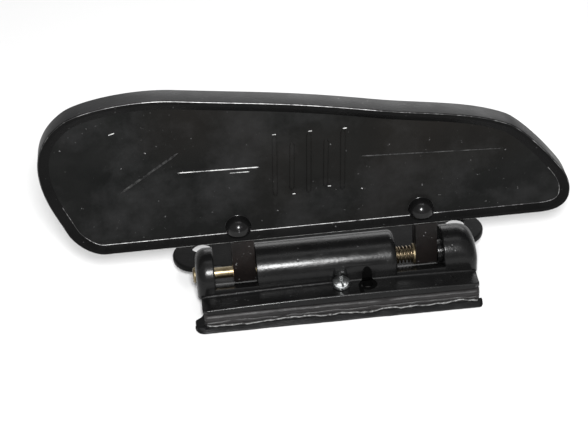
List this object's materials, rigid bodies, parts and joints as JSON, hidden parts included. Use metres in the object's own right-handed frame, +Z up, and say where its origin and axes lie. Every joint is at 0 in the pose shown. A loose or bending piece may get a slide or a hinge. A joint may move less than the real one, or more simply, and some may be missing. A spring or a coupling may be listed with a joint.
{
  "type": "folding footboard",
  "caption": "Black cast folding side footboard for a scooter, on two arms that slide and turn on a sprung shaft in an eared bracket with a rubber packing.",
  "frame": {"origin": "on the rubber packing's resting face, straight below the hinge shaft's axis, 1.25 mm right of the barrel's middle", "axes": "+X right along the hinge shaft, +Y to the rear where the bolting ears are, +Z up from the resting face"},
  "size_m": [0.2695, 0.0693, 0.1279],
  "materials": {
    "board_paint": "gloss black paint, worn bright along the rim",
    "bracket_paint": "semi-gloss black paint on a cast surface with small pits",
    "mat_rubber": "matt ribbed rubber",
    "packing_rubber": "matt moulded rubber",
    "yellow_zinc": "yellow passivated zinc plating",
    "bright_zinc": "bright zinc plating, lightly worn",
    "bush_bronze": "sintered bronze"
  },
  "bodies": {
    "root": {"hinge_bracket": "bracket_paint", "hinge_shaft": "yellow_zinc", "shaft_end_washer": "yellow_zinc", "shaft_circlip": "bright_zinc", "compression_spring": "yellow_zinc", "spring_seat_washer": "yellow_zinc", "packing_screw": "bright_zinc", "screw_spring_washer": "bright_zinc", "packing_nut": "bright_zinc", "nut_spring_washer": "bright_zinc", "clamp_strip": "bright_zinc", "rubber_packing": "packing_rubber"},
    "release_slider": {"thrust_washer": "yellow_zinc"},
    "board": {"board_casting": "board_paint", "left_hinge_arm": "bracket_paint", "right_hinge_arm": "bracket_paint", "arm_fixing_screws": "bright_zinc", "tread_mat": "mat_rubber", "mat_rivets": "bright_zinc", "left_arm_bush": "bush_bronze", "right_arm_bush": "bush_bronze"}
  },
  "joints": [
    {"name": "release_slide", "type": "slide", "parent": "root", "child": "release_slider", "axis": [-1, 0, 0], "range_m": [0, 0.003], "stiffness_N_per_m": 1500, "springref_m": -0.004, "deforming": ["compression_spring"]},
    {"name": "board_fold", "type": "hinge", "parent": "release_slider", "child": "board", "pos_m": [0, 0, 0.017], "axis": [1, 0, 0], "range_deg": [0, 70]}
  ]
}
